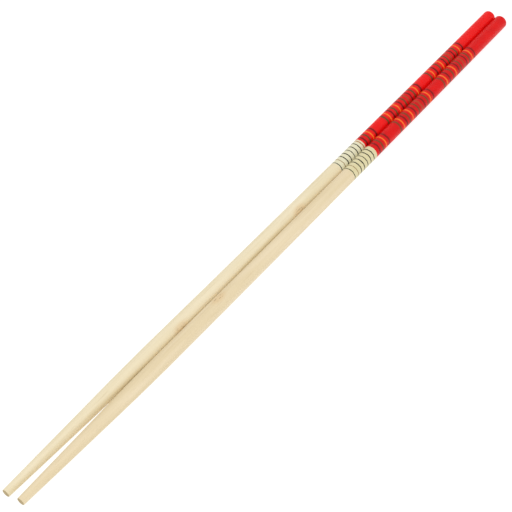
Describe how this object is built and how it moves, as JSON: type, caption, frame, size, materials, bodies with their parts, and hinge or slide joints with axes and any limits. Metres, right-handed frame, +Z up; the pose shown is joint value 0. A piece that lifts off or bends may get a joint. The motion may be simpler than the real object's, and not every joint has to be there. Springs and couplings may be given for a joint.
{
  "type": "pair of wooden chopsticks",
  "caption": "Long round wooden cooking chopsticks lying side by side, with bare tapered tips and red banded handles, for lifting and stirring hot food.",
  "frame": {"origin": "under the middle of the pair, on the surface that it lies on", "axes": "+X along the sticks from their tips to their painted butts, +Y from the right stick to the left one, +Z up"},
  "size_m": [0.4212, 0.016, 0.0082],
  "materials": {
    "left_stick": "sanded bare bamboo, with a glossy red painted handle that has printed bands",
    "right_stick": "sanded bare bamboo, with a glossy red painted handle that has printed bands"
  },
  "bodies": {
    "root": {"chopstick_left": "left_stick", "chopstick_right": "right_stick"}
  },
  "joints": []
}
